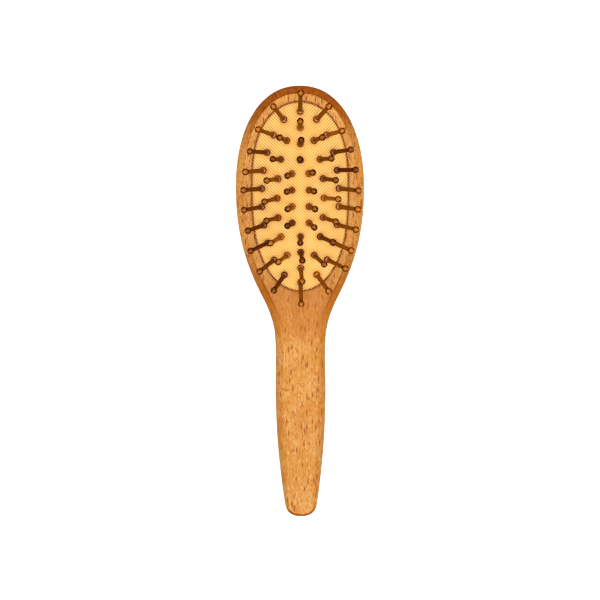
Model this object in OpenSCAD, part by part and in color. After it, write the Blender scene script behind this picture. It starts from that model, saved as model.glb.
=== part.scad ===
// Oval cushion brush: a one-piece beech body, a domed rubber pad with a woven face, and turned wooden pins.
// The brush lies on its flat back. +Y points to the head end, +Z to the pin tips.
// The origin is on the back, under the widest row of the pad.

/* [Body] */
// Length from the head end to the handle end
brush_l = 220; // [205:1:235]
// Distance from the pad's widest row to the head end
head_l = 52; // [50:0.5:56]
// Width of the head
head_w = 64.6; // [62:0.2:68]
// Squareness of the head's round end: 2 is an ellipse
head_power = 2.2; // [2:0.05:2.5]
// Thickness of the wood
body_t = 13; // [12:0.5:15]
// Width across the handle's grip
grip_w = 25.6; // [24:0.2:30]
// Width of the handle where its round end starts
end_w = 16.4; // [14:0.2:18]
// Length of the handle's round end
end_l = 6.3; // [5:0.1:8]

/* [Edges] */
// Radius of the front edge around the head
head_edge_r = 3.6; // [2.5:0.1:4]
// Radius of the front edge along the grip
grip_edge_r = 4.8; // [3:0.1:5]
// Radius of the edges at the handle's end
end_edge_r = 2.4; // [1.5:0.1:3]
// Radius of the back edge
back_edge_r = 5; // [3:0.1:5.5]
// Height of the small step between the head's front edge and its face
edge_step = 0.3; // [0.1:0.05:0.6]

/* [Pad] */
// Width of the pad
pad_w = 48; // [46:0.5:49]
// Length of the pad from its widest row towards the head
pad_top_l = 44; // [42:0.5:45]
// Length of the pad from its widest row towards the handle
pad_end_l = 50.5; // [49:0.5:52]
// Height of the pad's crown over the wood
crown_h = 10.2; // [9:0.1:11]
// Fullness of the crown towards the pad's two ends: 0 is even, more is flatter with steeper ends
crown_fullness = 0.6; // [0:0.05:0.8]
// Thickness of the woven face
cloth_t = 0.45; // [0.3:0.05:0.6]
// Thickness of the rubber membrane
rubber_t = 1.3; // [1:0.1:1.6]

/* [Pins] */
// Length from the pad's surface to the centre of the tip ball
pin_l = 16.5; // [14:0.1:19]
// Diameter of the shaft
shaft_d = 2.1; // [1.8:0.1:2.4]
// Diameter of the ball at the tip
ball_d = 3.3; // [3:0.1:3.8]
// Distance from the ball's centre to the pin's blunt point
point_l = 2.6; // [2.2:0.1:3]
// Diameter of the collar that sits on the pad
collar_d = 3.4; // [3:0.1:3.6]
// Largest lean away from the pad's normal, in degrees, from setting the pins by hand
hand_lean = 2.2; // [0:0.1:3]
// Seed of the hand-set lean
lean_seed = 616; // [1:1:2000]
// How far the pins that were set carelessly lean: 0 is not at all
stray_share = 1; // [0:0.1:1]

/* [Hidden] */
outer_count = 22;
middle_count = 16;
inner_count = 12;
function two_digits(i) = i < 10 ? str("0", i) : str(i);
function pin_names(ring, count) = [for (i = [1 : count]) str(ring, "_pin_", two_digits(i))];
OUTER = pin_names("outer", outer_count);
MIDDLE = pin_names("middle", middle_count);
INNER = pin_names("inner", inner_count);

function smooth(u) = u <= 0 ? 0 : u >= 1 ? 1 : u * u * (3 - 2 * u);
function wrap(i, n) = (i + n) % n;

// ---- Outline of the wood ----
handle_end = head_l - brush_l;
end_start = handle_end + end_l;
end_power = 2.5;
// Narrowing of the handle's half width per mm, where its round end starts.
end_taper = 0.16;
head_steps = 14;
flank_step = 5;
cap_steps = 9;

// Stations down the right flank: [y, half width, change of half width per mm of y].
flank = [
    [0, head_w / 2, 0],
    [-28, head_w * 0.451, 0.24],
    [-54, head_w * 0.297, 0.51],
    [-74, grip_w * 0.506, 0.075],
    [-98, grip_w / 2, -0.01],
    [end_start, end_w / 2, end_taper]
];

// Cubic curve between two stations.
function station_curve(p, q, y) =
    let (
        l = p[0] - q[0],
        u = (p[0] - y) / l,
        u2 = u * u,
        u3 = u2 * u
    )
    (2 * u3 - 3 * u2 + 1) * p[1] - (u3 - 2 * u2 + u) * l * p[2]
    + (3 * u2 - 2 * u3) * q[1] - (u3 - u2) * l * q[2];

function flank_w(y, i = 0) =
    i == len(flank) - 2 || y >= flank[i + 1][0]
    ? station_curve(flank[i], flank[i + 1], y)
    : flank_w(y, i + 1);

function head_point(t) =
    [head_w / 2 * pow(cos(t), 2 / head_power), head_l * pow(sin(t), 2 / head_power)];

// The round end narrows the flank's straight run to nothing at the handle's end.
function cap_point(t) =
    let (drop = end_l * pow(sin(t), 2 / end_power))
    [(end_w / 2 - end_taper * drop) * pow(max(0, cos(t)), 2 / end_power), end_start - drop];

flank_rows = ceil(-end_start / flank_step);
right_half = concat(
    [for (i = [1 : head_steps - 1]) head_point(90 - 90 * i / head_steps)],
    [for (i = [0 : flank_rows]) let (y = end_start * i / flank_rows) [flank_w(y), y]],
    [for (i = [1 : cap_steps - 1]) cap_point(90 * i / cap_steps)]
);
half_count = len(right_half);
// Counter-clockwise: up the right side, over the head, and down the left side.
outline = concat(
    [[0, handle_end]],
    [for (i = [half_count - 1 : -1 : 0]) right_half[i]],
    [[0, head_l]],
    [for (i = [0 : half_count - 1]) [-right_half[i][0], right_half[i][1]]]
);
outline_count = len(outline);

// Outward normal at each point of a closed counter-clockwise loop.
function loop_normal(loop, i) =
    let (
        n = len(loop),
        d = loop[wrap(i + 1, n)] - loop[wrap(i - 1, n)]
    )
    [d[1], -d[0]] / norm(d);

outline_normals = [for (i = [0 : outline_count - 1]) loop_normal(outline, i)];

// The front edge is tight around the head, fuller along the grip and tight again at the handle's end.
neck_y = -58;
grip_y = -88;
tail_y = -140;
function front_edge_r(y) =
    y > tail_y
    ? head_edge_r + (grip_edge_r - head_edge_r) * smooth((neck_y - y) / (neck_y - grip_y))
    : grip_edge_r + (end_edge_r - grip_edge_r) * smooth((tail_y - y) / (tail_y - end_start));
function rear_edge_r(y) = back_edge_r + (end_edge_r - back_edge_r) * smooth((tail_y - y) / (tail_y - end_start));

// The step fades out down the neck.
step_run = 0.25;
step_fade_y = -50;
step_fade_l = 26;
function step_h(y) = edge_step * (1 - smooth((step_fade_y - y) / step_fade_l));

edge_steps = 5;
// Loops up the side of the wood: the rear edge from 0 to 90 degrees, then the front edge from 0 to 90.
function side_point(i, rear, angle) =
    let (
        p = outline[i],
        r = rear ? rear_edge_r(p[1]) : front_edge_r(p[1]),
        inset = r * (1 - (rear ? sin(angle) : cos(angle))),
        q = p - outline_normals[i] * inset
    )
    [q[0], q[1], rear ? r * (1 - cos(angle)) : body_t - step_h(p[1]) - r * (1 - sin(angle))];

// Point on the rim of the flat face, over the step.
function face_point(i) =
    let (
        p = outline[i],
        q = p - outline_normals[i] * (front_edge_r(p[1]) + step_run)
    )
    [q[0], q[1], body_t];

body_loops = concat(
    [for (k = [0 : edge_steps]) [for (i = [0 : outline_count - 1]) side_point(i, true, 90 * k / edge_steps)]],
    [for (k = [0 : edge_steps]) [for (i = [0 : outline_count - 1]) side_point(i, false, 90 * k / edge_steps)]],
    [[for (i = [0 : outline_count - 1]) face_point(i)]]
);

// Closed skin through loops of equal length, each counter-clockwise seen from above, from low to high.
// Its two ends are fans to the points in poles, or flat ladders of strips across a loop that is symmetric
// about the Y axis and starts on it.
module loft(loops, poles = []) {
    n = len(loops[0]);
    top = (len(loops) - 1) * n;
    pole = len(loops) * n;
    ring = [for (i = [0 : n - 1]) i];
    sides = [
        for (low = [0 : n : top - 1])
            for (i = ring)
                let (a = low + i, b = low + wrap(i + 1, n))
                for (face = [[a, a + n, b + n], [a, b + n, b]]) face
    ];
    fans = [
        for (i = ring)
            let (next = wrap(i + 1, n))
            for (face = [[pole, i, next], [pole + 1, top + next, top + i]]) face
    ];
    strips = concat(
        [[0, 1, n - 1]],
        [for (i = [1 : n / 2 - 2]) [i, i + 1, n - i - 1, n - i]],
        [[n / 2 - 1, n / 2, n / 2 + 1]]
    );
    lids = concat(
        strips,
        [for (strip = strips) [for (k = [len(strip) - 1 : -1 : 0]) top + strip[k]]]
    );
    polyhedron(
        concat([for (loop = loops) for (p = loop) p], poles),
        concat(sides, len(poles) == 0 ? lids : fans),
        convexity = 4
    );
}

// ---- Outline of the pad ----
pad_power_top = 2.8;
pad_power_end = 2.6;
pad_steps = 72;
function pad_l(y) = y > 0 ? pad_top_l : pad_end_l;
function pad_power(y) = y > 0 ? pad_power_top : pad_power_end;

function pad_point(t) =
    let (side = sign(sin(t)))
    [pad_w / 2 * cos(t), side * pad_l(side) * pow(abs(sin(t)), 2 / pad_power(side))];

pad_outline = [for (i = [0 : pad_steps - 1]) pad_point(360 * i / pad_steps)];
pad_normals = [for (i = [0 : pad_steps - 1]) loop_normal(pad_outline, i)];
function pad_ring(grow) = [for (i = [0 : pad_steps - 1]) pad_outline[i] + pad_normals[i] * grow];
function pad_loop(grow, z) = [for (p = pad_ring(grow)) [p[0], p[1], z]];

// ---- Crown of the pad ----
// Shares of the way to the rim across and along: the rim is where they add up to 1.
function share_x(x) = pow(2 * x / pad_w, 2);
function share_y(y) = pow(abs(y) / pad_l(y), pad_power(y));

// Height of the cloth over the wood's face.
function crown(x, y) =
    crown_h * (1 - share_x(x) - share_y(y)) * (1 + crown_fullness * share_y(y));

// Slope of the cloth, as [dz/dx, dz/dy].
function crown_slope(x, y) =
    let (
        rise = 1 - share_x(x) - share_y(y),
        fuller = 1 + crown_fullness * share_y(y),
        along = sign(y) * pad_power(y) * pow(abs(y) / pad_l(y), pad_power(y) - 1) / pad_l(y)
    )
    crown_h * [-8 * x / (pad_w * pad_w) * fuller, along * (crown_fullness * rise - fuller)];

crown_rings = [0.12, 0.28, 0.44, 0.58, 0.71, 0.82, 0.92, 1];
// Loop of the crown at a share of the pad's outline, with its surface lowered by depth along the normal.
function crown_loop(share, depth) =
    [
        for (p = pad_outline)
            let (
                x = p[0] * share,
                y = p[1] * share,
                s = crown_slope(x, y),
                n = [-s[0], -s[1], 1] / norm([s[0], s[1], 1])
            )
            [x, y, body_t + crown(x, y)] - n * depth
    ];

function crown_pole(depth) = [0, 0, body_t + crown_h - depth];

// Domed shell between two depths under the cloth's face. The skirt's loops join its lower rim to its upper rim.
module crown_shell(upper, lower, skirt = []) {
    rings = len(crown_rings);
    loft(
        concat(
            [for (share = crown_rings) crown_loop(share, lower)],
            skirt,
            [for (k = [1 : rings]) crown_loop(crown_rings[rings - k], upper)]
        ),
        [crown_pole(lower), crown_pole(upper)]
    );
}

// ---- Places of the pins ----
ring_mid = (pad_top_l - pad_end_l) / 2;
outer_margin = 5;
outer_half_w = pad_w / 2 - outer_margin;
outer_half_l = (pad_top_l + pad_end_l) / 2 - outer_margin;
ring_gap = 7.6;
row_half_w = 4.1;
row_pitch = 8.1;
axis_pitch = 7.9;

function oval_point(a, b, t) = [a * sin(t), ring_mid + b * cos(t)];

// Table of [distance along the oval, angle], for placing pins at equal distances.
oval_step = 3;
function oval_table(a, b) =
    [
        for (
            t = 0, s = 0;
            t <= 360;
            s = s + norm(oval_point(a, b, t + oval_step) - oval_point(a, b, t)), t = t + oval_step
        ) [s, t]
    ];
// Points at equal distances round an oval, clockwise from its head end.
function oval_ring(a, b, count) =
    let (
        table = oval_table(a, b),
        around = table[len(table) - 1][0]
    )
    [for (i = [0 : count - 1]) oval_point(a, b, lookup(around * i / count, table))];

middle_half_w = outer_half_w - ring_gap;
middle_half_l = outer_half_l - ring_gap;
axis_far = middle_half_l - axis_pitch;
axis_near = axis_far - axis_pitch;
row_y = [1.5, 0.5, -0.5, -1.5] * row_pitch;
inner_places = concat(
    [[0, ring_mid + axis_far], [0, ring_mid + axis_near]],
    [for (y = row_y) [row_half_w, ring_mid + y]],
    [[0, ring_mid - axis_near], [0, ring_mid - axis_far]],
    [for (y = row_y) [-row_half_w, ring_mid - y]]
);
places = concat(
    oval_ring(outer_half_w, outer_half_l, outer_count),
    oval_ring(middle_half_w, middle_half_l, middle_count),
    inner_places
);
pin_nodes = concat(OUTER, MIDDLE, INNER);
pin_total = len(pin_nodes);
leans = rands(-hand_lean, hand_lean, 2 * pin_total, lean_seed);
// Pins set carelessly, in place of their hand-set lean: [pin, degrees towards +X, degrees towards +Y].
strays = [
    [2, -3, -5],
    [9, 5, 3],
    [11, 0, -6],
    [15, 6, -2],
    [22, -1, -5],
    [31, -1, 5],
    [36, 5, 0],
    [40, -3, 4]
];

// Lean of a pin off the pad's normal, in degrees towards +X and +Y.
function pin_lean(i) =
    let (found = search(i, strays, 0))
    len(found) > 0
    ? stray_share * [strays[found[0]][1], strays[found[0]][2]]
    : [leans[2 * i], leans[2 * i + 1]];

// Direction of a pin: the pad's normal, with the pin's lean.
function pin_axis(i) =
    let (
        s = crown_slope(places[i][0], places[i][1]),
        x = tan(pin_lean(i)[0]) - s[0],
        y = tan(pin_lean(i)[1]) - s[1]
    )
    [x, y, 1] / norm([x, y, 1]);
function pin_foot(i) = [places[i][0], places[i][1], body_t + crown(places[i][0], places[i][1])];

// Puts a child on the pad at a pin's foot, with the child's +Z along the pin.
module at_pin(i) {
    d = pin_axis(i);
    translate(pin_foot(i)) rotate([0, acos(d[2]), atan2(d[1], d[0])]) children();
}

// ---- Pieces ----
opening_gap = 0.1;
skirt_t = 1.5;
bead_w = 1.1;
bead_low = 8.6;
bead_high = 10.4;
bead_gap = 0.2;
recess_floor = 6;
cloth_gap = 0.05;
neck_r = 1;
neck_gap = 0.06;
hole_reach = 4;

// One step of the recess, from a height up to another, with its wall grown from the pad's outline.
module recess_step(low, high, grow) {
    translate([0, 0, low]) linear_extrude(high - low) polygon(pad_ring(grow));
}

module wood_body() {
    color("#d8934b")
    difference() {
        loft(body_loops);
        recess_step(recess_floor, bead_low, -skirt_t / 2);
        recess_step(bead_low - bead_gap, bead_high + bead_gap, bead_w + bead_gap);
        recess_step(bead_high, body_t + 1, opening_gap);
    }
}

module pin_holes() {
    for (i = [0 : pin_total - 1])
        at_pin(i) cylinder(h = 2 * hole_reach, r = neck_r + neck_gap, center = true, $fn = 24);
}

module cushion_rubber() {
    upper = cloth_t + cloth_gap;
    skirt = [
        pad_loop(-skirt_t, bead_high),
        pad_loop(-skirt_t, bead_low),
        pad_loop(bead_w, bead_low),
        pad_loop(bead_w, bead_high),
        pad_loop(0, bead_high),
        pad_loop(0, body_t - 2 * upper)
    ];
    color("#8e4f1f")
    difference() {
        crown_shell(upper, upper + rubber_t, skirt);
        pin_holes();
    }
}

module cushion_fabric() {
    color("#f3c272")
    difference() {
        crown_shell(0, cloth_t);
        pin_holes();
    }
}

// Barrel-shaped turned bead: the middle slab of a ball, standing on z = low.
module turned_bead(low, h, r) {
    translate([0, 0, low + h / 2])
    intersection() {
        sphere(r = r, $fn = 48);
        cube([3 * r, 3 * r, h], center = true);
    }
}

// Turned beech pin. Its collar sits on the cloth at z = 0 and its foot holds under the rubber.
collar_low = 0.15;
collar_h = 1.7;
foot_r = 1.9;
foot_h = 1.2;
foot_gap = 0.3;
point_r = 0.35;
// The point's cone leaves the ball where it is all but tangent to it.
cone_dip = 0.02;
module turned_pin(i) {
    under = cloth_t + cloth_gap + rubber_t + foot_gap;
    ball_r = ball_d / 2;
    cone_z = ball_r * ball_r / point_l;
    cone_r = sqrt(ball_r * ball_r - cone_z * cone_z);
    cone_h = (point_l - cone_z) * (1 - point_r / cone_r);
    color("#8a5323")
    at_pin(i) {
        turned_bead(-under - foot_h, foot_h, foot_r);
        translate([0, 0, -under - foot_h / 2]) cylinder(h = under + foot_h, r = neck_r, $fn = 32);
        turned_bead(collar_low, collar_h, collar_d / 2);
        translate([0, 0, collar_low + collar_h / 2]) cylinder(h = pin_l - collar_h, r = shaft_d / 2, $fn = 32);
        translate([0, 0, pin_l]) sphere(r = ball_r, $fn = 48);
        translate([0, 0, pin_l + cone_z]) cylinder(h = cone_h, r1 = cone_r - cone_dip, r2 = point_r, $fn = 48);
    }
}

wood_body();
cushion_rubber();
cushion_fabric();
for (i = [0 : pin_total - 1])
    turned_pin(i);
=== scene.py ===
"""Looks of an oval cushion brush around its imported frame: beech, woven pad and turned pins.

Lengths are millimetres until make_piece() scales them to metres. +Y is the head end, +Z the pin tips.
"""
import math

import bmesh
import bpy
import numpy as np
from mathutils import Matrix, Vector
from mathutils.kdtree import KDTree


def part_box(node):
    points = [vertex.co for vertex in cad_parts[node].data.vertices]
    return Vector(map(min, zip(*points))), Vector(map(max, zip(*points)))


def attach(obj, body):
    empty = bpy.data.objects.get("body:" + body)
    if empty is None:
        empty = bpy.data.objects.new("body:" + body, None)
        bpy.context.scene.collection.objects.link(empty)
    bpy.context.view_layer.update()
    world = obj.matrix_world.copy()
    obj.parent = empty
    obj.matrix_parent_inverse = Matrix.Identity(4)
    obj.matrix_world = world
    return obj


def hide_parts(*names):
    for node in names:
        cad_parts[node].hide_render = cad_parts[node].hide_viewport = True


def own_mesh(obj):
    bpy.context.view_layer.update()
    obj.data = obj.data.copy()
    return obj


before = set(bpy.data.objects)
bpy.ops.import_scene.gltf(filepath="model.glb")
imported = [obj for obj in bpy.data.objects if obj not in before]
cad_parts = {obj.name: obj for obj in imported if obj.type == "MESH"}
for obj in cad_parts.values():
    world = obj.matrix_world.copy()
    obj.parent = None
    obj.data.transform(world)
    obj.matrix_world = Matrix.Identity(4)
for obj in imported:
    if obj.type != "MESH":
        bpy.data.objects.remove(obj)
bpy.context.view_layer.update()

MM = 0.001
UP = np.array([0.0, 0.0, 1.0])
BODY = "brush_body"


# ---------------------------------------------------------------- frame sizes
def box_mm(node):
    """Low and high corners of a node's box, in millimetres."""
    low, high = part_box(node)
    return np.array(low) / MM, np.array(high) / MM


wood_low, wood_high = box_mm("wood_body")
cloth_low, cloth_high = box_mm("cushion_fabric")
FACE = wood_high[2]
HEAD_W = wood_high[0]
HEAD_L = wood_high[1]
HANDLE_END = wood_low[1]
PAD_W = cloth_high[0]
PAD_TOP_L = cloth_high[1]
PAD_END_L = -cloth_low[1]
CROWN_H = cloth_high[2] - FACE


# ---------------------------------------------------------------- mesh helpers
WELD = 0.002
SLIVER = 0.0005


def smooth(u):
    """0 to 1 as u goes from 0 to 1, flat at both ends and clamped beyond them."""
    u = np.clip(u, 0.0, 1.0)
    return u * u * (3 - 2 * u)


def make_piece(name, points, faces, sharp_deg=None):
    """A smooth-shaded object from points in millimetres, with edges over sharp_deg left sharp."""
    mesh = bpy.data.meshes.new(name)
    mesh.from_pydata((np.asarray(points) * MM).tolist(), [], [list(map(int, f)) for f in faces])
    bm = bmesh.new()
    bm.from_mesh(mesh)
    bmesh.ops.remove_doubles(bm, verts=bm.verts, dist=WELD * MM)
    bmesh.ops.dissolve_degenerate(bm, edges=bm.edges, dist=SLIVER * MM)
    bmesh.ops.recalc_face_normals(bm, faces=bm.faces)
    for face in bm.faces:
        face.smooth = True
    if sharp_deg is not None:
        limit = math.radians(sharp_deg)
        for edge in bm.edges:
            edge.smooth = edge.calc_face_angle(0.0) < limit
    bm.to_mesh(mesh)
    bm.free()
    piece = bpy.data.objects.new(name, mesh)
    bpy.context.scene.collection.objects.link(piece)
    return piece


def grid_faces(rows, cols, closed=False, start=0):
    """Quads of a grid of points, row by row. A closed grid joins its last column to its first."""
    last = cols if closed else cols - 1
    return [
        (
            start + r * cols + c,
            start + r * cols + (c + 1) % cols,
            start + (r + 1) * cols + (c + 1) % cols,
            start + (r + 1) * cols + c,
        )
        for r in range(rows - 1)
        for c in range(last)
    ]


def lift(xy, z):
    """Points of a path in the plane, raised to height z."""
    return np.column_stack([xy, np.broadcast_to(z, len(xy))])


def nearest(points):
    """Tree that finds the nearest of some points, by index."""
    tree = KDTree(len(points))
    for i, point in enumerate(points):
        tree.insert(point, i)
    tree.balance()
    return tree


def vertices_mm(piece):
    """Places of a piece's vertices, in millimetres."""
    return np.array([v.co for v in piece.data.vertices], float) / MM


def paint_point_values(piece, name, values):
    attribute = piece.data.attributes.new(name, "FLOAT", "POINT")
    attribute.data.foreach_set("value", np.asarray(values, np.float32))


def paint_point_vectors(piece, name, vectors):
    attribute = piece.data.attributes.new(name, "FLOAT_VECTOR", "POINT")
    attribute.data.foreach_set("vector", np.asarray(vectors, np.float32).ravel())


# ---------------------------------------------------------------- outline of the wood
HEAD_POWER = 2.2
GRIP_W = 12.8
END_W = 8.2
END_L = 6.3
END_POWER = 2.5
END_TAPER = 0.16
END_START = HANDLE_END + END_L
# Stations down the flank: y, half width, change of half width per mm of y.
FLANK = (
    (0.0, HEAD_W, 0.0),
    (-28.0, HEAD_W * 0.902, 0.24),
    (-54.0, HEAD_W * 0.594, 0.51),
    (-74.0, GRIP_W * 1.012, 0.075),
    (-98.0, GRIP_W, -0.01),
    (END_START, END_W, END_TAPER),
)
HEAD_SAMPLES = 70
FLANK_STEP = 1.1
CAP_SAMPLES = 26


def flank_w(y):
    """Half width of the wood at y, on the cubic curve between its two stations."""
    for high, low in zip(FLANK, FLANK[1:]):
        if y >= low[0] or low is FLANK[-1]:
            length = high[0] - low[0]
            u = (high[0] - y) / length
            return (
                (2 * u**3 - 3 * u**2 + 1) * high[1]
                - (u**3 - 2 * u**2 + u) * length * high[2]
                + (3 * u**2 - 2 * u**3) * low[1]
                - (u**3 - u**2) * length * low[2]
            )


def wood_outline():
    """Right half of the outline from the head end to the handle end, with its outward normals."""
    head = [
        (
            HEAD_W * math.cos(t) ** (2 / HEAD_POWER),
            HEAD_L * math.sin(t) ** (2 / HEAD_POWER),
        )
        for t in np.linspace(math.pi / 2, 0, HEAD_SAMPLES, endpoint=False)
    ]
    rows = math.ceil(-END_START / FLANK_STEP)
    flank = [(flank_w(y), y) for y in np.linspace(0, END_START, rows, endpoint=False)]
    cap = []
    for t in np.linspace(0, math.pi / 2, CAP_SAMPLES):
        drop = END_L * math.sin(t) ** (2 / END_POWER)
        width = END_W - END_TAPER * drop
        cap.append((width * max(0.0, math.cos(t)) ** (2 / END_POWER), END_START - drop))
    half = np.array(head + flank + cap)
    half[0, 0] = half[-1, 0] = 0.0
    mirror = np.array([[-1.0, 1.0]])
    round_ends = np.vstack([half[1:2] * mirror, half, half[-2:-1] * mirror])
    along = round_ends[2:] - round_ends[:-2]
    normals = np.stack([-along[:, 1], along[:, 0]], 1)
    return half, normals / np.linalg.norm(normals, axis=1)[:, None]


# ---------------------------------------------------------------- outline and crown of the pad
POWER_TOP = 2.8
POWER_END = 2.6
FULLNESS = 0.6


def pad_length(y):
    """Length of the pad from its widest row to the end on the side of y."""
    return np.where(np.asarray(y) > 0, PAD_TOP_L, PAD_END_L)


def pad_power(y):
    """Power of the pad's outline on the side of y."""
    return np.where(np.asarray(y) > 0, POWER_TOP, POWER_END)


def pad_rim(t):
    """Points of the pad's outline at angles t, and their outward normals."""
    s, c = np.sin(t), np.cos(t)
    y = np.sign(s) * pad_length(s) * np.abs(s) ** (2 / pad_power(s))
    x = PAD_W * c
    q = pad_power(s)
    normal = np.stack(
        [2 * x / PAD_W**2, q * np.sign(s) * np.abs(y / pad_length(s)) ** (q - 1) / pad_length(s)], 1
    )
    return np.stack([x, y], 1), normal / np.linalg.norm(normal, axis=1)[:, None]


def pad_half_width(y):
    """Half width of the pad at y."""
    share = np.clip(np.abs(y) / pad_length(y), 0, 1) ** pad_power(y)
    return PAD_W * np.sqrt(1 - share)


def crown_shares(x, y):
    """Shares of the way to the rim across and along, and the fullness towards the pad's ends."""
    across = (x / PAD_W) ** 2
    along = (np.abs(y) / pad_length(y)) ** pad_power(y)
    return across, along, 1 + FULLNESS * along


def crown(x, y):
    """Height of the pad over the wood's face."""
    across, along, fuller = crown_shares(x, y)
    return CROWN_H * (1 - across - along) * fuller


def crown_normal(x, y):
    """Unit normals of the pad's crown."""
    across, along, fuller = crown_shares(x, y)
    rate = np.sign(y) * pad_power(y) * (np.abs(y) / pad_length(y)) ** (pad_power(y) - 1) / pad_length(y)
    slope_x = -2 * CROWN_H * x / PAD_W**2 * fuller
    slope_y = CROWN_H * rate * (FULLNESS * (1 - across - along) - fuller)
    normal = np.stack([-slope_x, -slope_y, np.ones_like(x)], -1)
    return normal / np.linalg.norm(normal, axis=-1)[..., None]


# ---------------------------------------------------------------- wood body
HEAD_EDGE_R = 3.6
GRIP_EDGE_R = 4.8
END_EDGE_R = 2.4
BACK_EDGE_R = 5.0
NECK_Y = -58.0
GRIP_Y = -88.0
SPINE_MERGE_Y = GRIP_Y - 10
TAIL_Y = -140.0
CREASE_DEG = 12.0
STEP_H = 0.3
STEP_FADE_Y = -50.0
STEP_FADE_L = 26.0
# Rise from the head's front edge to the face: distance in from the edge, and share of the step.
STEP_PROFILE = ((0.05, 0.2), (0.16, 0.85), (0.28, 1.0))
EDGE_STEPS = 13
LAND_STEPS = 7
SPINE_STEPS = 5
SPINE_END = 0.4
OPENING_GAP = 0.15
OPENING_BREAK = 0.25
BREAK_ROUND = 0.3
BEAD_LOW = 8.4
BEAD_HIGH = 10.6
BEAD_REACH = 1.3
LEDGE = -0.75
RECESS_FLOOR = 6.0
WOOD_SHARP = 15
# The dark line of painted shade along the step: faint within a length each side of a height, full after a
# further run.
LINE_R = 0.36
LINE_FAINT = 0.25
LINE_FAINT_Y = 4.0
LINE_FAINT_L = 34.0
LINE_RISE_L = 20.0
# Strength of the painted shade along the pad's opening.
RIM_LINE = 0.9
# The darker finish across the grain: how far the edge has to face an end, and the share elsewhere, which is
# painted shade on the other edges.
END_FACING = 0.12
END_TURN = 0.55
EDGE_SHADE_SHARE = 0.2


def front_edge_r(y):
    """Radius of the wood's front edge at y."""
    r = HEAD_EDGE_R + (GRIP_EDGE_R - HEAD_EDGE_R) * smooth((NECK_Y - y) / (NECK_Y - GRIP_Y))
    return r + (END_EDGE_R - GRIP_EDGE_R) * smooth((TAIL_Y - y) / (TAIL_Y - END_START))


def back_edge_r(y):
    """Radius of the wood's back edge at y."""
    return BACK_EDGE_R + (END_EDGE_R - BACK_EDGE_R) * smooth((TAIL_Y - y) / (TAIL_Y - END_START))


def inner_line(y):
    """What each outline point faces: the pad's opening round the head, the centre line down the handle.

    The other results are the points and normals of the pad's rim that the head's points face.
    """
    last_head = int(np.nonzero(y >= NECK_Y)[0][-1])
    share = (y[: last_head + 1] - y[last_head]) / (HEAD_L - y[last_head])
    open_y = -PAD_END_L + share * (PAD_TOP_L + PAD_END_L)
    sine = np.sign(open_y) * (np.abs(open_y) / pad_length(open_y)) ** (pad_power(open_y) / 2)
    rim, rim_normals = pad_rim(np.arcsin(np.clip(sine, -1, 1)))
    rim[[0, -1], 0] = 0.0
    rim_normals[[0, -1], 0] = 0.0
    merged = smooth((y[last_head:] - y[last_head]) / (SPINE_MERGE_Y - NECK_Y))
    spine_y = y[last_head:] + (rim[-1, 1] - OPENING_GAP - y[last_head]) * (1 - merged)
    inner = np.zeros((len(y), 2))
    inner[: last_head + 1] = rim + rim_normals * (OPENING_GAP + OPENING_BREAK)
    inner[last_head:, 1] = np.maximum(spine_y, HANDLE_END + END_EDGE_R + SPINE_END)
    inner[last_head, 1] = rim[-1, 1] - OPENING_GAP - OPENING_BREAK
    return inner, rim, rim_normals


def outside_loops(half, normals, inner, stepped):
    """Loops over the back, both edges and the land, and the loop at the foot of the step.

    stepped is the share of the crease and the step at each outline point.
    """
    rear, front = back_edge_r(half[:, 1]), front_edge_r(half[:, 1])
    back_rim = half - normals * rear[:, None]
    back_spine = np.column_stack([np.zeros(len(half)), back_rim[:, 1]])
    loops = []
    for u in np.linspace(0, 1, SPINE_STEPS, endpoint=False):
        loops.append(lift(back_spine + (back_rim - back_spine) * u, 0.0))
    for a in np.linspace(0, math.pi / 2, EDGE_STEPS):
        inset = rear * (1 - math.sin(a))
        loops.append(lift(half - normals * inset[:, None], rear * (1 - math.cos(a))))
    end_angle = math.pi / 2 - math.radians(CREASE_DEG) * stepped
    shelf = FACE - STEP_H * stepped
    for u in np.linspace(0, 1, EDGE_STEPS):
        a = u * end_angle
        inset = front * (1 - np.cos(a)) / (1 - np.cos(end_angle))
        rise = front * (1 - np.sin(a) / np.sin(end_angle))
        loops.append(lift(half - normals * inset[:, None], shelf - rise))
    for run, share in STEP_PROFILE:
        loops.append(lift(half - normals * (front + run)[:, None], shelf + STEP_H * stepped * share))
    step_line = loops[-len(STEP_PROFILE)]
    front_rim = loops[-1][:, :2]
    for u in np.linspace(0, 1, LAND_STEPS + 1)[1:]:
        loops.append(lift(front_rim + (inner - front_rim) * u, FACE))
    return np.array(loops), step_line


def recess_loops(rim, rim_normals):
    """Loops from the opening's broken edge, past the groove for the rubber's bead, to the recess's floor."""
    section = (
        (OPENING_GAP + OPENING_BREAK, FACE),
        (OPENING_GAP + OPENING_BREAK * BREAK_ROUND, FACE - OPENING_BREAK * BREAK_ROUND),
        (OPENING_GAP, FACE - OPENING_BREAK),
        (OPENING_GAP, BEAD_HIGH),
        (BEAD_REACH, BEAD_HIGH),
        (BEAD_REACH, BEAD_LOW),
        (LEDGE, BEAD_LOW),
        (LEDGE, RECESS_FLOOR),
    )
    loops = [lift(rim + rim_normals * grow, z) for grow, z in section]
    floor_spine = np.column_stack([np.zeros(len(rim)), loops[-1][:, 1]])
    return np.array(loops + [lift(floor_spine, RECESS_FLOOR)])


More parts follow.
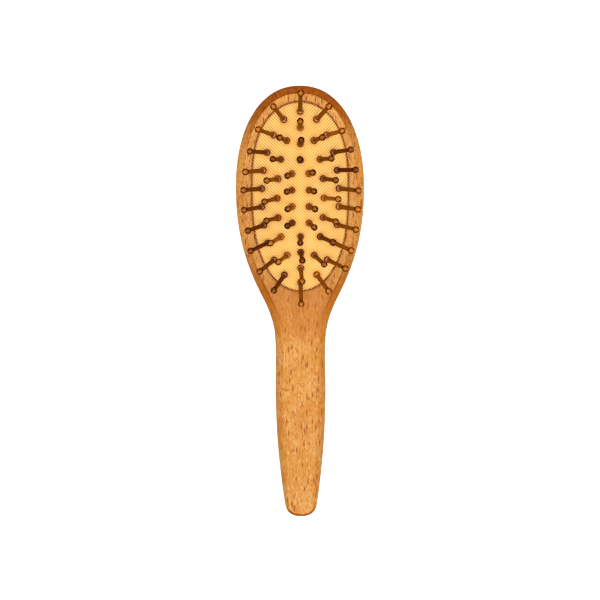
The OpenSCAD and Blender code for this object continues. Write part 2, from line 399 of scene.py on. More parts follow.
def wood_body():
    """The whole wood as ladders of points across its right half, then mirrored."""
    half, normals = wood_outline()
    y = half[:, 1]
    # The head's front edge ends in a small step and a crease, which fade away down the neck.
    stepped = 1 - smooth((STEP_FADE_Y - y) / STEP_FADE_L)
    inner, rim, rim_normals = inner_line(y)
    outside, step_line = outside_loops(half, normals, inner, stepped)
    inside = recess_loops(rim, rim_normals)

    points = np.vstack([outside.reshape(-1, 3), inside.reshape(-1, 3)])
    faces = grid_faces(len(outside), len(y))
    faces += grid_faces(len(inside), len(rim), start=len(outside) * len(y))
    mirrored = points * [-1, 1, 1]
    flipped = [tuple(len(points) + i for i in reversed(face)) for face in faces]
    piece = make_piece("Beech_Body", np.vstack([points, mirrored]), faces + flipped, WOOD_SHARP)

    # The painted shade line shows round the head end and down the neck, and is faint along the head's two
    # sides.
    away = smooth((np.abs(y - LINE_FAINT_Y) - LINE_FAINT_L) / LINE_RISE_L)
    shown = stepped * (LINE_FAINT + (1 - LINE_FAINT) * away)
    line = np.vstack([step_line[stepped > 0], inside[0]])
    paint_crease_shade(piece, line, np.append(shown[stepped > 0], np.full(len(rim), RIM_LINE)))
    paint_end_grain_and_edge_shade(piece, half, normals)
    return piece


def paint_crease_shade(piece, line, strength):
    """Attribute "line": painted shade along the step and the opening, on both halves of the wood."""
    tree = nearest(line)
    values = []
    for x, y, z in vertices_mm(piece):
        _, i, distance = tree.find((abs(x), y, z))
        values.append(strength[i] * math.exp(-((distance / LINE_R) ** 2)))
    paint_point_values(piece, "line", values)


def paint_end_grain_and_edge_shade(piece, half, normals):
    """Attribute "end": strong on the edges round the two ends, which cut across the grain, and weak elsewhere
    as painted shade on the edges.
    """
    tree = nearest(lift(half, 0.0))
    share = EDGE_SHADE_SHARE + (1 - EDGE_SHADE_SHARE) * smooth((np.abs(normals[:, 1]) - END_FACING) / END_TURN)
    values = []
    for x, y, z in vertices_mm(piece):
        _, i, _ = tree.find((abs(x), y, 0.0))
        values.append(share[i] if z < FACE - STEP_H * 0.5 else 0.0)
    paint_point_values(piece, "end", values)


# ---------------------------------------------------------------- pins, read from the frame
PIN_NODES = sorted(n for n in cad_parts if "_pin_" in n)
AXIS_PASSES = 3
DISC_BAND = 0.05
FOOT_DEPTH = 3.3
FOOT_R = 1.9
FOOT_H = 1.2
# First angle, last angle and steps of the rounded foot.
FOOT_ARC = (180, 10, 9)
NECK_R = 1.0
NECK_GAP = 0.1
COLLAR_R = 1.72
COLLAR_H = 1.75
COLLAR_SINK = 0.25
COLLAR_FULL = 0.62
COLLAR_TURN = (0.02, math.pi - 0.35)
COLLAR_STEPS = 15
SHAFT_LOW_R = 1.12
SHAFT_HIGH_R = 1.0
SHAFT_LOW_GAP = 0.15
SHAFT_HIGH_GAP = 0.3
SHAFT_STEPS = 14
BALL_Z = 16.5
BALL_R = 1.65
BALL_LIFT_DEG = 6
BALL_STEPS = 15
POINT_L = 2.6
POINT_ROUND = 0.3
POINT_STEPS = 6
PIN_SIDES = 40
PIN_SHARP = 50
# Unevenness of the turning: start, height, spread and rate of the shaft's waves, and the girth's spread.
WAVE_START_Z = 2.0
WAVE_H = 0.02
WAVE_SPREAD = (0.6, 1.4)
WAVE_RATE = (0.7, 1.1)
GIRTH_SPREAD = 0.03
GRAIN_SHIFT = 40
# Painted shade on the beads and shafts, in shares of a radius, of full shade, and of a lean's sine.
BALL_FOOT = 0.8
BALL_CROWN = 0.4
BALL_FADE = 0.35
COLLAR_CROWN = 0.8
SHAFT_PAINTED_SHADE = 0.48
SHAFT_PAINTED_OUTLINE = 0.6
LEAN_START = 0.25
LEAN_FADE = 0.3


def pin_place(node):
    """Foot on the cloth and direction of a CAD pin: the line through its two end discs."""
    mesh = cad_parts[node].data
    points = np.array([v.co for v in mesh.vertices], float) / MM
    points = np.unique(np.round(points, 4), axis=0)
    centre = points.mean(0)
    axis = np.linalg.svd(points - centre, full_matrices=False)[2][0]
    axis *= np.sign(axis[2])
    for _ in range(AXIS_PASSES):
        along = (points - centre) @ axis
        low = points[along < along.min() + DISC_BAND].mean(0)
        high = points[along > along.max() - DISC_BAND].mean(0)
        axis = (high - low) / np.linalg.norm(high - low)
    return low + axis * FOOT_DEPTH, axis


PINS = {node: pin_place(node) for node in PIN_NODES}


def arc(centre_z, centre_r, radius, start, end, steps):
    """Profile points (z, r) on an arc. Angle 0 points up the pin and 90 away from its axis."""
    angles = np.radians(np.linspace(start, end, steps))
    return [(centre_z + radius * math.cos(a), centre_r + radius * math.sin(a)) for a in angles]


def pin_profile():
    """Turned outline from the hidden foot to the blunt point, as (z, radius)."""
    foot_mid = -FOOT_DEPTH + FOOT_H / 2
    foot = [(-FOOT_DEPTH, 0.0)] + arc(foot_mid, FOOT_R - FOOT_H / 2, FOOT_H / 2, *FOOT_ARC)
    neck = [(foot_mid + FOOT_H / 2 + NECK_GAP, NECK_R), (-COLLAR_SINK, NECK_R)]
    collar_mid = COLLAR_H / 2 - COLLAR_SINK
    turn = np.linspace(*COLLAR_TURN, COLLAR_STEPS)
    collar_z = collar_mid - COLLAR_H / 2 * np.cos(turn)
    collar = list(zip(collar_z, NECK_R + (COLLAR_R - NECK_R) * np.sin(turn) ** COLLAR_FULL))
    shaft_low = collar_mid + COLLAR_H / 2 + SHAFT_LOW_GAP
    ball_start = 180 - math.degrees(math.asin(SHAFT_HIGH_R / BALL_R)) - BALL_LIFT_DEG
    neck_z = BALL_Z + BALL_R * math.cos(math.radians(ball_start)) - SHAFT_HIGH_GAP
    shaft = [
        (shaft_low + (neck_z - shaft_low) * u, SHAFT_LOW_R + (SHAFT_HIGH_R - SHAFT_LOW_R) * smooth(u))
        for u in np.linspace(0, 1, SHAFT_STEPS)
    ]
    tangent = math.degrees(math.acos(BALL_R / POINT_L))
    ball = arc(BALL_Z, 0.0, BALL_R, ball_start, tangent, BALL_STEPS)
    slant = math.radians(90 - tangent)
    tip_z = BALL_Z + POINT_L - POINT_ROUND / math.sin(slant)
    point = arc(tip_z, 0.0, POINT_ROUND, tangent, 0, POINT_STEPS)
    return np.array(foot + neck + collar + shaft + ball + point)


def side_frame(axis):
    """Two directions square to an axis."""
    side = np.cross(axis, [0.0, 1.0, 0.0])
    side /= np.linalg.norm(side)
    return side, np.cross(axis, side)


def pin_piece(node, profile, rng):
    """One turned pin: a lathe of the profile with slight hand-turned unevenness, on the CAD pin's line."""
    foot, axis = PINS[node]
    u, v = side_frame(axis)
    around = np.linspace(0, 2 * math.pi, PIN_SIDES, endpoint=False)
    z, r = profile[:, 0], profile[:, 1].copy()
    shaft = (z > WAVE_START_Z) & (z < BALL_Z - BALL_R)
    height = rng.uniform(*WAVE_SPREAD) * WAVE_H
    wave = height * np.sin(z * rng.uniform(*WAVE_RATE) + rng.uniform(0, 6))
    r[shaft] += wave[shaft]
    swell = 1 + rng.uniform(-GIRTH_SPREAD, GIRTH_SPREAD)
    ring = np.cos(around)[:, None] * u + np.sin(around)[:, None] * v
    points = foot + z[:, None, None] * axis + (r * swell)[:, None, None] * ring
    piece = make_piece(
        "Pin_" + node.replace("_pin_", "_"),
        points.reshape(-1, 3),
        grid_faces(len(z), PIN_SIDES, closed=True),
        PIN_SHARP,
    )
    own_axes = np.stack([u, v, axis], 1)
    local = (vertices_mm(piece) - foot) @ own_axes
    paint_point_values(piece, "tone", np.full(len(local), rng.uniform(0, 1)))
    # Painted shade on the flanks and outlines of the beads and along the shaft.
    flank, bead = painted_bead_shade(local, UP @ own_axes)
    paint_point_values(piece, "flank", flank)
    paint_point_values(piece, "bead", bead)
    paint_point_vectors(piece, "grain", local + [rng.uniform(0, GRAIN_SHIFT), 0, 0])
    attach(piece, node)
    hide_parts(node)
    return piece


def painted_bead_shade(local, up):
    """Painted shade: 0 on the crowns of a pin's ball and collar, up to 1 round their flanks, and even on the
    shaft.

    The second result is how much the painted shade darkens the outline: fully on the ball and the collar, and
    on a shaft the more it leans. up is the world's up in the pin's own axes.
    """
    out, z = np.hypot(local[:, 0], local[:, 1]), local[:, 2]
    # The ball's crown, kept clear of the painted shade, lies between the world's up and the pin's own end,
    # nearer to the first.
    pole = 2 * up + [0.0, 0.0, 1.0]
    pole /= np.linalg.norm(pole)
    across = np.linalg.norm(np.cross(local - [0.0, 0.0, BALL_Z], pole), axis=1)
    ball = smooth((across / BALL_R - BALL_CROWN) / BALL_FADE)
    collar = smooth((out / COLLAR_R - COLLAR_CROWN) / (1 - COLLAR_CROWN))
    on_ball = z > BALL_Z - BALL_R * BALL_FOOT
    on_collar = z < COLLAR_H
    leaning = SHAFT_PAINTED_OUTLINE * smooth((math.hypot(up[0], up[1]) - LEAN_START) / LEAN_FADE)
    flank = np.where(on_ball, ball, np.where(on_collar, collar, SHAFT_PAINTED_SHADE))
    return flank, np.where(on_ball | on_collar, 1.0, leaning)


# ---------------------------------------------------------------- pad
WEAVE_PITCH = 1.12
WEAVE_RELIEF = 0.11
WEAVE_MID = 0.75
YARN_UNDER = 0.3
YARN_LEAD = 1.6
CLOTH_ROW = 0.235
CLOTH_COLUMNS = 212
ROW_CROWDING = 0.3
DIMPLE_R = 2.6
DIMPLE_DEPTH = 0.28
DIMPLE_FADE = 3.0
# The cloth's edge: distance out from the rim and drop below the face, from the dome to beside the wood.
TUCK = ((-0.25, -0.16), (0.0, 0.04), (0.05, 0.35), (-0.1, 0.8), (-0.3, 1.3))
TUCK_SAMPLES = 1100
TUCK_RELIEF = 0.1
# Painted shade on the tucked edge: it starts at a height over the face and is full a further drop below.
TUCK_TINT_TOP = 0.8
TUCK_TINT_FADE = 0.9
FRAY = 0.22
FRAY_MID = 0.9
DRIFT_LONG = 0.06
DRIFT_SHORT = 0.05


def drift(a, b):
    """How far the yarns stray from straight, in pitches, at angles a and b of two slow waves."""
    return DRIFT_LONG * np.sin(a) + DRIFT_SHORT * np.sin(b)


def weave(x, y):
    """Height share, 0 to 1, of a bias weave: raised diamonds between two sets of diagonal grooves."""
    a = (x + y) / math.sqrt(2) / WEAVE_PITCH + drift(y / 5.1, x / 3.7)
    b = (x - y) / math.sqrt(2) / WEAVE_PITCH + drift(x / 4.6 + 1.0, y / 6.3)
    warp = 0.5 - 0.5 * np.cos(2 * math.pi * a)
    weft = 0.5 - 0.5 * np.cos(2 * math.pi * b)
    # Down the pad's left flank the one set of yarns shows more, and down its right flank the other.
    lead = smooth(0.5 - x / (YARN_LEAD * PAD_W))
    over = lead * warp * (1 - YARN_UNDER + YARN_UNDER * weft)
    return over + (1 - lead) * weft * (1 - YARN_UNDER + YARN_UNDER * warp)


def dimples(x, y):
    """Sink of the cloth around the pins' collars."""
    sink = np.zeros_like(x)
    for foot, _ in PINS.values():
        distance = np.hypot(x - foot[0], y - foot[1])
        sink += DIMPLE_DEPTH * np.exp(-((distance / DIMPLE_R) ** 2))
    return sink


def cloth_surface(x, y, edge):
    """Points of the woven face. edge is 0 at the pad's rim, where the dimples die out."""
    base = np.stack([x, y, FACE + crown(x, y)], -1)
    height = WEAVE_RELIEF * (weave(x, y) - WEAVE_MID) - dimples(x, y) * smooth(edge / DIMPLE_FADE)
    return base + crown_normal(x, y) * height[..., None]


def cloth_rows(length, side):
    """Row heights from the widest row to an end, a little closer at the end."""
    rows = math.ceil(length / CLOTH_ROW)
    u = np.linspace(0, 1, rows + 1)[:-1]
    return side * length * ((1 - ROW_CROWDING) * u + ROW_CROWDING * np.sin(u * math.pi / 2))


def cloth_face():
    """Grid of points over the woven dome, one row for each height."""
    ys = np.concatenate([cloth_rows(PAD_TOP_L, 1)[::-1], cloth_rows(PAD_END_L, -1)[1:]])
    width = pad_half_width(ys)
    x = width[:, None] * np.linspace(-1, 1, CLOTH_COLUMNS)[None, :]
    y = np.repeat(ys[:, None], CLOTH_COLUMNS, 1)
    edge = np.minimum(width[:, None] - np.abs(x), np.minimum(PAD_TOP_L - y, PAD_END_L + y))
    return cloth_surface(x, y, edge)


def cloth_edge():
    """Loops of points round the cloth's edge, tucked down beside the wood."""
    rim, normals = pad_rim(np.linspace(0, 2 * math.pi, TUCK_SAMPLES, endpoint=False))
    relief = weave(rim[:, 0], rim[:, 1])
    fray = FRAY * (relief - FRAY_MID)
    loops = [
        lift(rim + normals * (out + fray)[:, None], FACE - drop + TUCK_RELIEF * (relief - 0.5))
        for out, drop in TUCK
    ]
    return np.array(loops)


def squash_with_press(piece):
    """Gives the piece its own copy of its mesh."""
    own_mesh(piece)


def pad_cloth():
    """The woven face, with attributes for its relief, the painted shade in its dimples and down its edge, and
    the tucked edge.
    """
    surface, tuck = cloth_face(), cloth_edge()
    rows, columns = surface.shape[:2]
    faces = grid_faces(rows, columns)
    faces += grid_faces(len(tuck), TUCK_SAMPLES, closed=True, start=rows * columns)
    piece = make_piece("Pad_Cloth", np.vstack([surface.reshape(-1, 3), tuck.reshape(-1, 3)]), faces)
    x, y, z = vertices_mm(piece).T
    # Painted shade down the tucked edge, and in the dimples round the pins.
    tucked = smooth((FACE + TUCK_TINT_TOP - z) / TUCK_TINT_FADE)
    paint_point_values(piece, "relief", weave(x, y))
    paint_point_values(piece, "hollow_shade", dimples(x, y) / DIMPLE_DEPTH + tucked)
    paint_point_values(piece, "tucked", tucked)
    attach(piece, BODY)
    squash_with_press(piece)
    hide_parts("cushion_fabric")
    return piece


RUBBER_TOP = 0.55
RUBBER_T = 1.25
SKIRT_T = 1.5
SKIRT_OUT = -0.35
SKIRT_TOP = 10.9
BEAD_PLAY = 0.2
RUBBER_SHARP = 40
RIM_ANGLES = np.linspace(0, 2 * math.pi, 144, endpoint=False)
DOME_SHARES = np.linspace(0.03, 1, 16)


def rubber_finish(piece):
    """Both rubber pieces stand for the one rubber node, on the brush's body."""
    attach(piece, BODY)
    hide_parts("cushion_rubber")
    return piece


def rubber_dome():
    """The domed membrane under the cloth: two parallel skins closed round the rim."""
    rim, _ = pad_rim(RIM_ANGLES)
    loops = []
    for depth, shares in ((RUBBER_TOP + RUBBER_T, DOME_SHARES), (RUBBER_TOP, DOME_SHARES[::-1])):
        for share in shares:
            x, y = (rim * share).T
            loops.append(np.column_stack([x, y, FACE + crown(x, y)]) - crown_normal(x, y) * depth)
    count = len(RIM_ANGLES)
    last = (len(loops) - 1) * count
    faces = grid_faces(len(loops), count, closed=True)
    faces += [tuple(range(count)), tuple(last + i for i in range(count))]
    piece = make_piece("Pad_Rubber_Dome", np.array(loops).reshape(-1, 3), faces, RUBBER_SHARP)
    squash_with_press(rubber_finish(piece))
    return piece


def rubber_bead():
    """The membrane's skirt, with the bead that holds it in the recess's groove."""
    rim, normals = pad_rim(RIM_ANGLES)
    section = (
        (-SKIRT_T, BEAD_LOW + BEAD_PLAY),
        (BEAD_REACH - BEAD_PLAY, BEAD_LOW + BEAD_PLAY),
        (BEAD_REACH - BEAD_PLAY, BEAD_HIGH - BEAD_PLAY),
        (SKIRT_OUT, BEAD_HIGH - BEAD_PLAY),
        (SKIRT_OUT, SKIRT_TOP),
        (-SKIRT_T, SKIRT_TOP),
        (-SKIRT_T, BEAD_LOW + BEAD_PLAY),
    )
    loops = np.array([lift(rim + normals * grow, z) for grow, z in section])
    faces = grid_faces(len(loops), len(RIM_ANGLES), closed=True)
    return rubber_finish(make_piece("Pad_Rubber_Bead", loops.reshape(-1, 3), faces, RUBBER_SHARP))


# ---------------------------------------------------------------- materials
class Shader:
    """A material whose nodes are added by short calls. Inputs are numbers, colours or other sockets."""

    def __init__(self, name):
        self.material = bpy.data.materials.new(name)
        self.material.use_nodes = True
        self.tree = self.material.node_tree
        self.surface = self.tree.nodes["Principled BSDF"]

    def node(self, kind, inputs=(), output=0, **settings):
        """Adds a node with its inputs and settings, and returns one of its outputs."""
        made = self.tree.nodes.new(kind)
        for key, value in settings.items():
            setattr(made, key, value)
        for key, value in dict(inputs).items():
            self.put(made.inputs[key], value)
        return made.outputs[output]

    def put(self, socket, value):
        if isinstance(value, bpy.types.NodeSocket):
            self.tree.links.new(value, socket)
        else:
            socket.default_value = value

    def set(self, **inputs):
        """Inputs of the surface, named with _ for a space."""
        for key, value in inputs.items():
            self.put(self.surface.inputs[key.replace("_", " ")], value)

    def math(self, operation, a, b=0.0):
        return self.node("ShaderNodeMath", {0: a, 1: b}, operation=operation)

    def mix(self, factor, a, b):
        return self.node("ShaderNodeMix", {0: factor, 6: a, 7: b}, output=2, data_type="RGBA")

    def over(self, colour, mask, strength, paint):
        """The colour with paint laid over it where the mask is 1, at a strength from 0 to 1."""
        return self.mix(self.math("MULTIPLY", mask, strength), colour, paint)

    def band(self, value, low, high, start=0.0, end=1.0):
        """value from low..high to start..end, smoothly and clamped."""
        return self.node(
            "ShaderNodeMapRange",
            {0: value, 1: low, 2: high, 3: start, 4: end},
            interpolation_type="SMOOTHSTEP",
        )

    def attribute(self, name, output="Fac"):
        return self.node("ShaderNodeAttribute", output=output, attribute_name=name)

    def object_mm(self):
        return self.stretch(self.node("ShaderNodeTexCoord", output="Object"), (MM, MM, MM))

    def stretch(self, vector, period):
        """The vector in units of a period along each axis."""
        return self.node("ShaderNodeMapping", {"Vector": vector, "Scale": [1 / p for p in period]})

    def noise(self, vector, period, detail=2.0, rough=0.5, output=0):
        """Noise with a period in mm along each axis. Output 1 is its colour."""
        at = self.stretch(vector, period)
        inputs = {"Vector": at, "Scale": 1.0, "Detail": detail, "Roughness": rough}
        return self.node("ShaderNodeTexNoise", inputs, output=output)

    def cells(self, vector, output="Distance"):
        return self.node("ShaderNodeTexVoronoi", {"Vector": vector, "Scale": 1.0}, output=output)

    def bump(self, height, depth_mm, strength):
        inputs = {"Height": height, "Distance": depth_mm * MM, "Strength": strength}
        return self.node("ShaderNodeBump", inputs)


def rgb(r, g, b):
    """A display colour, 0 to 255, as linear red, green, blue and alpha."""
    linear = [c / 255 / 12.92 if c <= 10 else ((c / 255 + 0.055) / 1.055) ** 2.4 for c in (r, g, b)]
    return (*linear, 1.0)


FLECK_CORE = 0.45


def flecks(sh, where, period, radius, keep):
    """Spindle-shaped marks along Y, one to a cell of the period. Only a share of them is kept."""
    at = sh.stretch(where, period)
    spot = sh.band(sh.cells(at), radius, radius * FLECK_CORE)
    pick = sh.node("ShaderNodeSeparateColor", {0: sh.cells(at, "Color")})
    return sh.math("MULTIPLY", spot, sh.math("LESS_THAN", pick, keep))


BEECH_PALE = rgb(185, 135, 70)
BEECH_DEEP = rgb(176, 121, 50)
BEECH_HEAD = rgb(210, 150, 72)
STREAK = rgb(151, 80, 16)
FIGURE = rgb(164, 90, 4)
PALE_MARK = rgb(200, 154, 96)
END_PALE = rgb(138, 64, 0)
END_DARK = rgb(106, 42, 0)
SHORT_MARK = rgb(152, 76, 0)
LONG_MARK = rgb(132, 60, 0)
NECK_TINT = rgb(156, 86, 4)
LINE_PAINTED_SHADE = rgb(108, 38, 0)
NECK_TINT_Y = -60.0
NECK_TINT_FAR = 22.0
NECK_TINT_NEAR = 6.0
HEAD_PALE_Y = -30.0
HEAD_PALE_FADE = 12.0
GRAIN_WANDER = (2.4, 0.0, 2.4)


def beech_material():
    """Oiled beech: patches, streaks, figure and ray flecks, darker at the ends and the neck, with painted
    shade on the other edges and along the step and the opening.
    """
    sh = Shader("Beech_Oiled")
    place = sh.object_mm()
    along = sh.node("ShaderNodeSeparateXYZ", {0: place}, output=1)
    wander = sh.noise(place, (16, 40, 16), detail=1.0, output=1)
    shifted = sh.node("ShaderNodeVectorMath", {0: wander, 1: GRAIN_WANDER}, operation="MULTIPLY")
    at = sh.node("ShaderNodeVectorMath", {0: place, 1: shifted}, operation="ADD")
    patches = sh.noise(at, (7, 15, 7), detail=3.0, rough=0.6)
    streaks = sh.noise(at, (0.9, 22, 0.9), detail=3.0, rough=0.6)
    figure = sh.noise(at, (0.5, 1.7, 0.5), rough=0.6)
    pores = sh.noise(at, (0.22, 2.2, 0.22))
    long_marks = flecks(sh, at, (1.5, 6.8, 1.5), 0.34, 0.7)
    short_marks = flecks(sh, at, (1.1, 3.8, 1.1), 0.30, 0.7)
    pale_marks = flecks(sh, at, (1.9, 4.4, 1.9), 0.42, 0.5)
    end = sh.attribute("end")
    head = sh.band(along, HEAD_PALE_Y - HEAD_PALE_FADE, HEAD_PALE_Y + HEAD_PALE_FADE)
    off_neck = sh.math("ABSOLUTE", sh.math("SUBTRACT", along, NECK_TINT_Y))
    neck = sh.band(off_neck, NECK_TINT_FAR, NECK_TINT_NEAR)
    across_grain = sh.mix(sh.band(streaks, 0.4, 0.6), END_PALE, END_DARK)

    colour = sh.mix(sh.band(patches, 0.36, 0.62), BEECH_PALE, BEECH_DEEP)
    colour = sh.over(colour, head, 0.45, BEECH_HEAD)
    colour = sh.over(colour, sh.band(streaks, 0.45, 0.75), 0.45, STREAK)
    colour = sh.over(colour, sh.band(figure, 0.48, 0.62), 0.8, FIGURE)
    colour = sh.over(colour, pale_marks, 0.4, PALE_MARK)
    # End grain darkens the two ends; its weak share on the other edges is painted shade.
    colour = sh.over(colour, end, 0.9, across_grain)
    colour = sh.over(colour, short_marks, 0.9, SHORT_MARK)
    colour = sh.over(colour, long_marks, 0.95, LONG_MARK)
    colour = sh.over(colour, neck, 0.5, NECK_TINT)
    # Painted shade along the step and round the pad's opening.
    colour = sh.over(colour, sh.attribute("line"), 0.85, LINE_PAINTED_SHADE)
    height = sh.math("SUBTRACT", pores, sh.math("MULTIPLY", long_marks, 0.8))
    sh.set(
        Base_Color=colour,
        Roughness=sh.band(pores, 0.3, 0.7, 0.5, 0.62),
        Specular_IOR_Level=sh.band(end, 0.0, 0.8, 0.15, 0.02),
        Normal=sh.bump(height, 0.03, 0.5),
    )
    return sh.material


PIN_DARK = rgb(112, 48, 0)
PIN_PALE = rgb(204, 118, 18)
PIN_GRAIN = rgb(96, 38, 0)
PIN_PAINTED_SHADE = rgb(50, 16, 0)
BEAD_RELIEF = 0.55


def pin_material():
    """Dark stained, tumbled beech: each pin has its own tone, with grain running along it, and painted shade
    round its beads and along its shaft.
    """
    sh = Shader("Pin_Wood")
    grain = sh.noise(sh.attribute("grain", "Vector"), (0.45, 0.45, 4.5), detail=3.0)
    flank = sh.attribute("flank")
    bead = sh.attribute("bead")
    # Painted shade: darker round the outlines of the beads, and of the shafts that lean, than on the crowns.
    facing = sh.node("ShaderNodeLayerWeight", {"Blend": 0.5}, output="Facing")
    outline = sh.math("MULTIPLY", bead, sh.band(facing, 0.11, 0.44))
    held = sh.math("SUBTRACT", 1.0, sh.math("MULTIPLY", bead, BEAD_RELIEF))
    shade = sh.math("MAXIMUM", outline, sh.math("MULTIPLY", flank, held))

    colour = sh.mix(sh.attribute("tone"), PIN_DARK, PIN_PALE)
    colour = sh.over(colour, sh.band(grain, 0.35, 0.65), 0.45, PIN_GRAIN)
    # The painted shade laid over the pin's tone.
    colour = sh.mix(shade, colour, PIN_PAINTED_SHADE)
    sh.set(
        Base_Color=colour,
        Roughness=sh.band(flank, 0.2, 0.9, 0.28, 0.95),
        Specular_IOR_Level=sh.band(flank, 0.0, 0.5, 0.45, 0.02),
        Normal=sh.bump(grain, 0.02, 0.4),
    )
    return sh.material


YARN_CROWN = rgb(251, 215, 134)
YARN_GROOVE_SHADE = rgb(212, 147, 64)
CLOTH_TONE_AND_SHADE = rgb(232, 170, 84)
CLOTH_HOLLOW_SHADE = rgb(172, 84, 4)
RIM_PAINTED_SHADE = rgb(118, 48, 0)
FIBRE = rgb(196, 132, 62)


def cloth_material():
    """Cream cotton: pale yarn crowns, a soft mottle partly of painted shade, and painted shade in the
    grooves, in the hollows and as a dotted line at the tucked edge.
    """
    sh = Shader("Pad_Weave")
    at = sh.object_mm()
    relief = sh.attribute("relief")
    fibres = sh.noise(at, (0.16, 0.16, 0.16), detail=3.0, rough=0.7)
    tone_and_shade = sh.noise(at, (6, 6, 6))
    # Painted shade in the gap at the tucked edge, broken into dots by the weave.
    rim_shade = sh.math("MULTIPLY", sh.attribute("tucked"), sh.band(relief, 0.75, 0.2, 0.3, 1.0))

    # Painted shade in the weave's grooves, darker than the yarn crowns.
    colour = sh.mix(sh.band(relief, 0.2, 0.85), YARN_GROOVE_SHADE, YARN_CROWN)
    # The cloth's uneven tone, deepened into soft patches of painted shade among the pins.
    colour = sh.over(colour, sh.band(tone_and_shade, 0.38, 0.66), 0.45, CLOTH_TONE_AND_SHADE)
    # Painted shade in the dimples round the pins and down the tucked edge.
    colour = sh.over(colour, sh.attribute("hollow_shade"), 0.42, CLOTH_HOLLOW_SHADE)
    colour = sh.mix(rim_shade, colour, RIM_PAINTED_SHADE)
    colour = sh.over(colour, sh.band(fibres, 0.3, 0.7), 0.16, FIBRE)
    sh.set(
        Base_Color=colour,
        Roughness=0.85,
        Specular_IOR_Level=0.2,
        Normal=sh.bump(fibres, 0.03, 0.6),
    )
    return sh.material


RUBBER_DEEP = rgb(140, 70, 22)
RUBBER_PALE = rgb(168, 92, 36)


def rubber_material():
    """Matt natural rubber with a faint moulded mottle."""
    sh = Shader("Rubber_Matt")
    mottle = sh.noise(sh.object_mm(), (1.5, 1.5, 1.5), detail=4.0)
    sh.set(
        Base_Color=sh.mix(mottle, RUBBER_DEEP, RUBBER_PALE),
        Roughness=sh.band(mottle, 0.3, 0.7, 0.7, 0.9),
        Normal=sh.bump(mottle, 0.03, 0.5),
    )
    return sh.material


FLOOR_WHITE = rgb(240, 240, 240)
GLOW_WHITE = rgb(255, 255, 255)
FLOOR_GLOW = 0.6


def floor_material():
    """Plain white, with a glow that only the camera sees, so it stays pale under the soft light."""
    sh = Shader("Floor_White")
    seen = sh.node("ShaderNodeLightPath", output="Is Camera Ray")
    sh.set(Base_Color=FLOOR_WHITE, Roughness=0.9, Specular_IOR_Level=0.1)
    sh.set(Emission_Color=GLOW_WHITE, Emission_Strength=sh.math("MULTIPLY", seen, FLOOR_GLOW))
    return sh.material


def dress(piece, material):
    piece.data.materials.clear()
    piece.data.materials.append(material)


# ---------------------------------------------------------------- stage
FLOOR_SIZE = 6000.0
KEY_PLACE = (40.0, -70.0, 900.0)
KEY_AIM = (0.0, -50.0, 10.0)
KEY_SIZE = 760.0
KEY_POWER = 7.7
DOME_LOW = 0.1
DOME_HIGH = 0.9
DOME_DIM = 0.35
DOME_BRIGHT = 1.25
CAMERA_D = 791.0
CAMERA_TILT = 7.67
CAMERA_SIDE = 1.12
CAMERA_ROLL = -0.34
CAMERA_AIM = (-0.13, -56.08, 6.5)
FRAME_W = 305.3
SENSOR_W = 36.0


def add_key():
    """A broad round light high over the brush."""
    light = bpy.data.lights.new("Key", "AREA")
    light.shape = "DISK"
    light.size = KEY_SIZE * MM
    light.energy = KEY_POWER
    lamp = bpy.data.objects.new("Key", light)
    bpy.context.scene.collection.objects.link(lamp)
    lamp.location = Vector(KEY_PLACE) * MM
    lamp.rotation_euler = (Vector(KEY_AIM) - Vector(KEY_PLACE)).to_track_quat("-Z", "Y").to_euler()


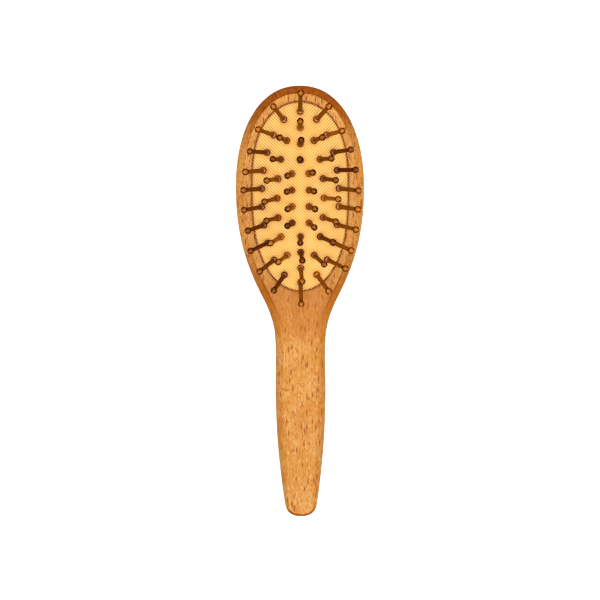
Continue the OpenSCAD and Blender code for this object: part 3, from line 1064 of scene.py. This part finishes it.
def add_camera():
    """A long lens almost straight above the brush, a little towards the head end."""
    tilt, side, roll = map(math.radians, (CAMERA_TILT, CAMERA_SIDE, CAMERA_ROLL))
    back = Vector((-math.sin(side), math.sin(tilt) * math.cos(side), math.cos(tilt) * math.cos(side)))
    up = Vector((0.0, math.cos(tilt), -math.sin(tilt)))
    right = up.cross(back)
    turn = Matrix((right, up, back)).transposed().to_4x4()
    camera = bpy.data.objects.new("Camera", bpy.data.cameras.new("Camera"))
    camera.data.sensor_width = SENSOR_W
    camera.data.lens = SENSOR_W * CAMERA_D / FRAME_W
    place = Vector(CAMERA_AIM) + back * CAMERA_D
    camera.matrix_world = Matrix.Translation(place * MM) @ turn @ Matrix.Rotation(roll, 4, "Z")
    bpy.context.scene.collection.objects.link(camera)
    bpy.context.scene.camera = camera


def add_dome():
    """A white dome, bright overhead and dim at the horizon, like a large softbox over the table."""
    world = bpy.data.worlds.new("Studio")
    world.use_nodes = True
    tree = world.node_tree
    facing = tree.nodes.new("ShaderNodeTexCoord")
    split = tree.nodes.new("ShaderNodeSeparateXYZ")
    fade = tree.nodes.new("ShaderNodeMapRange")
    fade.interpolation_type = "SMOOTHSTEP"
    fade.inputs["From Min"].default_value = DOME_LOW
    fade.inputs["From Max"].default_value = DOME_HIGH
    fade.inputs["To Min"].default_value = DOME_DIM
    fade.inputs["To Max"].default_value = DOME_BRIGHT
    tree.links.new(facing.outputs["Generated"], split.inputs[0])
    tree.links.new(split.outputs["Z"], fade.inputs["Value"])
    # The camera sees plain white past the floor's far edge, so no horizon shows.
    seen = tree.nodes.new("ShaderNodeLightPath")
    shown = tree.nodes.new("ShaderNodeMix")
    shown.inputs["B"].default_value = 1.0
    tree.links.new(seen.outputs["Is Camera Ray"], shown.inputs["Factor"])
    tree.links.new(fade.outputs["Result"], shown.inputs["A"])
    background = tree.nodes["Background"]
    background.inputs["Color"].default_value = (1, 1, 1, 1)
    tree.links.new(shown.outputs["Result"], background.inputs["Strength"])
    bpy.context.scene.world = world


def add_floor():
    """A white table that belongs to the stage and not to the brush."""
    half = FLOOR_SIZE / 2
    corners = [(-half, -half, 0), (half, -half, 0), (half, half, 0), (-half, half, 0)]
    floor = make_piece("Floor", corners, [(0, 1, 2, 3)])
    dress(floor, floor_material())


# ---------------------------------------------------------------- build
SEED = 7

rng = np.random.default_rng(SEED)
beech = beech_material()
pin_wood = pin_material()
rubber = rubber_material()

body = wood_body()
dress(body, beech)
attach(body, BODY)
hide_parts("wood_body")

dress(pad_cloth(), cloth_material())
dress(rubber_dome(), rubber)
dress(rubber_bead(), rubber)

profile = pin_profile()
for node in PIN_NODES:
    dress(pin_piece(node, profile, rng), pin_wood)

add_floor()
add_key()
add_dome()
add_camera()
bpy.context.scene.view_settings.view_transform = "Standard"
